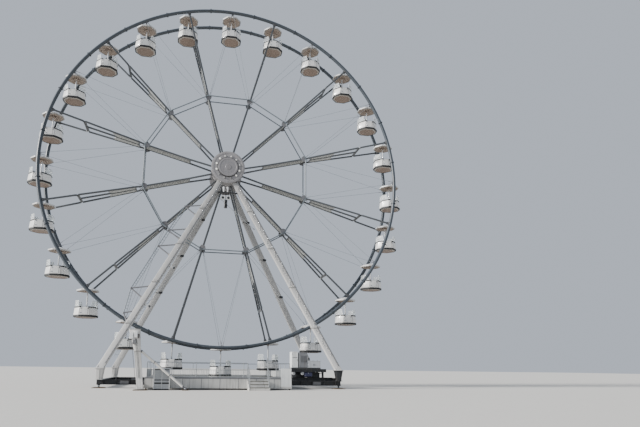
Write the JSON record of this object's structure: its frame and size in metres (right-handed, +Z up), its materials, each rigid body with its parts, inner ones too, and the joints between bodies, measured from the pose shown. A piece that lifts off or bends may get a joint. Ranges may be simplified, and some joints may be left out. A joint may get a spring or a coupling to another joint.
{
  "type": "ferris wheel",
  "caption": "Travelling Ferris wheel with open octagonal gondolas that stay level, forked spokes, twin tube rims and box beam legs on a ground frame.",
  "frame": {"origin": "on the ground below the hub, at the underside of the centre pad", "axes": "+Z up, +Y along the wheel's axle towards the back, +X to the right seen from the front"},
  "size_m": [33.9, 12.88, 35.36],
  "materials": {
    "rim_paint": "satin dark blue-grey paint, weathered",
    "spoke_paint": "satin mid grey paint",
    "hub_paint": "satin light grey paint",
    "leg_paint": "satin warm light grey paint, dirty",
    "gondola_shell": "white shell with a dark trim, clear screens and a beige underside",
    "bare_steel": "bare steel",
    "chassis_paint": "dark chassis paint, dusty",
    "deck_plate": "patterned deck plate, worn",
    "rail_steel": "galvanised steel",
    "panel_paint": "white painted panels"
  },
  "bodies": {
    "base": {"axle": "bare_steel", "base_frame": "chassis_paint", "deck": "deck_plate", "disc_back": "hub_paint", "disc_front": "hub_paint", "entry_steps": "deck_plate", "head_back": "leg_paint", "head_front": "leg_paint", "lamp_bar": "rail_steel", "leg_back_left": "leg_paint", "leg_back_right": "leg_paint", "leg_front_left": "leg_paint", "leg_front_right": "leg_paint", "louvre_cabinet": "panel_paint", "machine_bed": "chassis_paint", "machine_cabinets": "panel_paint", "outrigger_column": "leg_paint", "railing_back": "rail_steel", "railing_front": "rail_steel"},
    "wheel": {"hub": "hub_paint", "rim_front": "rim_paint", "rim_back": "rim_paint", "ring_front": "spoke_paint", "ring_back": "spoke_paint", "spoke_01": "spoke_paint", "spoke_02": "spoke_paint", "spoke_03": "spoke_paint", "spoke_04": "spoke_paint", "spoke_05": "spoke_paint", "spoke_06": "spoke_paint", "spoke_07": "spoke_paint", "spoke_08": "spoke_paint", "spoke_09": "spoke_paint", "spoke_10": "spoke_paint", "spoke_11": "spoke_paint", "spoke_12": "spoke_paint"},
    "gondola_01": {"gondola_01": "gondola_shell"},
    "gondola_02": {"gondola_02": "gondola_shell"},
    "gondola_03": {"gondola_03": "gondola_shell"},
    "gondola_04": {"gondola_04": "gondola_shell"},
    "gondola_05": {"gondola_05": "gondola_shell"},
    "gondola_06": {"gondola_06": "gondola_shell"},
    "gondola_07": {"gondola_07": "gondola_shell"},
    "gondola_08": {"gondola_08": "gondola_shell"},
    "gondola_09": {"gondola_09": "gondola_shell"},
    "gondola_10": {"gondola_10": "gondola_shell"},
    "gondola_11": {"gondola_11": "gondola_shell"},
    "gondola_12": {"gondola_12": "gondola_shell"},
    "gondola_13": {"gondola_13": "gondola_shell"},
    "gondola_14": {"gondola_14": "gondola_shell"},
    "gondola_15": {"gondola_15": "gondola_shell"},
    "gondola_16": {"gondola_16": "gondola_shell"},
    "gondola_17": {"gondola_17": "gondola_shell"},
    "gondola_18": {"gondola_18": "gondola_shell"},
    "gondola_19": {"gondola_19": "gondola_shell"},
    "gondola_20": {"gondola_20": "gondola_shell"},
    "gondola_21": {"gondola_21": "gondola_shell"},
    "gondola_22": {"gondola_22": "gondola_shell"},
    "gondola_23": {"gondola_23": "gondola_shell"},
    "gondola_24": {"gondola_24": "gondola_shell"}
  },
  "joints": [
    {"name": "wheel_spin", "type": "hinge", "parent": "base", "child": "wheel", "pos_m": [0, 0, 19.2], "axis": [0, 1, 0], "continuous": true},
    {"name": "gondola_01_level", "type": "hinge", "parent": "wheel", "child": "gondola_01", "pos_m": [0, 0, 35.2], "axis": [0, 1, 0], "continuous": true},
    {"name": "gondola_02_level", "type": "hinge", "parent": "wheel", "child": "gondola_02", "pos_m": [4.1411, 0, 34.65481], "axis": [0, 1, 0], "continuous": true},
    {"name": "gondola_03_level", "type": "hinge", "parent": "wheel", "child": "gondola_03", "pos_m": [8, 0, 33.05641], "axis": [0, 1, 0], "continuous": true},
    {"name": "gondola_04_level", "type": "hinge", "parent": "wheel", "child": "gondola_04", "pos_m": [11.31371, 0, 30.51371], "axis": [0, 1, 0], "continuous": true},
    {"name": "gondola_05_level", "type": "hinge", "parent": "wheel", "child": "gondola_05", "pos_m": [13.85641, 0, 27.2], "axis": [0, 1, 0], "continuous": true},
    {"name": "gondola_06_level", "type": "hinge", "parent": "wheel", "child": "gondola_06", "pos_m": [15.45481, 0, 23.3411], "axis": [0, 1, 0], "continuous": true},
    {"name": "gondola_07_level", "type": "hinge", "parent": "wheel", "child": "gondola_07", "pos_m": [16, 0, 19.2], "axis": [0, 1, 0], "continuous": true},
    {"name": "gondola_08_level", "type": "hinge", "parent": "wheel", "child": "gondola_08", "pos_m": [15.45481, 0, 15.05889], "axis": [0, 1, 0], "continuous": true},
    {"name": "gondola_09_level", "type": "hinge", "parent": "wheel", "child": "gondola_09", "pos_m": [13.85641, 0, 11.2], "axis": [0, 1, 0], "continuous": true},
    {"name": "gondola_10_level", "type": "hinge", "parent": "wheel", "child": "gondola_10", "pos_m": [11.31371, 0, 7.88629], "axis": [0, 1, 0], "continuous": true},
    {"name": "gondola_11_level", "type": "hinge", "parent": "wheel", "child": "gondola_11", "pos_m": [8, 0, 5.34359], "axis": [0, 1, 0], "continuous": true},
    {"name": "gondola_12_level", "type": "hinge", "parent": "wheel", "child": "gondola_12", "pos_m": [4.1411, 0, 3.74519], "axis": [0, 1, 0], "continuous": true},
    {"name": "gondola_13_level", "type": "hinge", "parent": "wheel", "child": "gondola_13", "pos_m": [0, 0, 3.2], "axis": [0, 1, 0], "continuous": true},
    {"name": "gondola_14_level", "type": "hinge", "parent": "wheel", "child": "gondola_14", "pos_m": [-4.1411, 0, 3.74519], "axis": [0, 1, 0], "continuous": true},
    {"name": "gondola_15_level", "type": "hinge", "parent": "wheel", "child": "gondola_15", "pos_m": [-8, 0, 5.34359], "axis": [0, 1, 0], "continuous": true},
    {"name": "gondola_16_level", "type": "hinge", "parent": "wheel", "child": "gondola_16", "pos_m": [-11.31371, 0, 7.88629], "axis": [0, 1, 0], "continuous": true},
    {"name": "gondola_17_level", "type": "hinge", "parent": "wheel", "child": "gondola_17", "pos_m": [-13.85641, 0, 11.2], "axis": [0, 1, 0], "continuous": true},
    {"name": "gondola_18_level", "type": "hinge", "parent": "wheel", "child": "gondola_18", "pos_m": [-15.45481, 0, 15.05889], "axis": [0, 1, 0], "continuous": true},
    {"name": "gondola_19_level", "type": "hinge", "parent": "wheel", "child": "gondola_19", "pos_m": [-16, 0, 19.2], "axis": [0, 1, 0], "continuous": true},
    {"name": "gondola_20_level", "type": "hinge", "parent": "wheel", "child": "gondola_20", "pos_m": [-15.45481, 0, 23.3411], "axis": [0, 1, 0], "continuous": true},
    {"name": "gondola_21_level", "type": "hinge", "parent": "wheel", "child": "gondola_21", "pos_m": [-13.85641, 0, 27.2], "axis": [0, 1, 0], "continuous": true},
    {"name": "gondola_22_level", "type": "hinge", "parent": "wheel", "child": "gondola_22", "pos_m": [-11.31371, 0, 30.51371], "axis": [0, 1, 0], "continuous": true},
    {"name": "gondola_23_level", "type": "hinge", "parent": "wheel", "child": "gondola_23", "pos_m": [-8, 0, 33.05641], "axis": [0, 1, 0], "continuous": true},
    {"name": "gondola_24_level", "type": "hinge", "parent": "wheel", "child": "gondola_24", "pos_m": [-4.1411, 0, 34.65481], "axis": [0, 1, 0], "continuous": true}
  ],
  "couplings": [
    {"joint": "gondola_01_level", "follows": "wheel_spin", "ratio": -1},
    {"joint": "gondola_02_level", "follows": "wheel_spin", "ratio": -1},
    {"joint": "gondola_03_level", "follows": "wheel_spin", "ratio": -1},
    {"joint": "gondola_04_level", "follows": "wheel_spin", "ratio": -1},
    {"joint": "gondola_05_level", "follows": "wheel_spin", "ratio": -1},
    {"joint": "gondola_06_level", "follows": "wheel_spin", "ratio": -1},
    {"joint": "gondola_07_level", "follows": "wheel_spin", "ratio": -1},
    {"joint": "gondola_08_level", "follows": "wheel_spin", "ratio": -1},
    {"joint": "gondola_09_level", "follows": "wheel_spin", "ratio": -1},
    {"joint": "gondola_10_level", "follows": "wheel_spin", "ratio": -1},
    {"joint": "gondola_11_level", "follows": "wheel_spin", "ratio": -1},
    {"joint": "gondola_12_level", "follows": "wheel_spin", "ratio": -1},
    {"joint": "gondola_13_level", "follows": "wheel_spin", "ratio": -1},
    {"joint": "gondola_14_level", "follows": "wheel_spin", "ratio": -1},
    {"joint": "gondola_15_level", "follows": "wheel_spin", "ratio": -1},
    {"joint": "gondola_16_level", "follows": "wheel_spin", "ratio": -1},
    {"joint": "gondola_17_level", "follows": "wheel_spin", "ratio": -1},
    {"joint": "gondola_18_level", "follows": "wheel_spin", "ratio": -1},
    {"joint": "gondola_19_level", "follows": "wheel_spin", "ratio": -1},
    {"joint": "gondola_20_level", "follows": "wheel_spin", "ratio": -1},
    {"joint": "gondola_21_level", "follows": "wheel_spin", "ratio": -1},
    {"joint": "gondola_22_level", "follows": "wheel_spin", "ratio": -1},
    {"joint": "gondola_23_level", "follows": "wheel_spin", "ratio": -1},
    {"joint": "gondola_24_level", "follows": "wheel_spin", "ratio": -1}
  ]
}
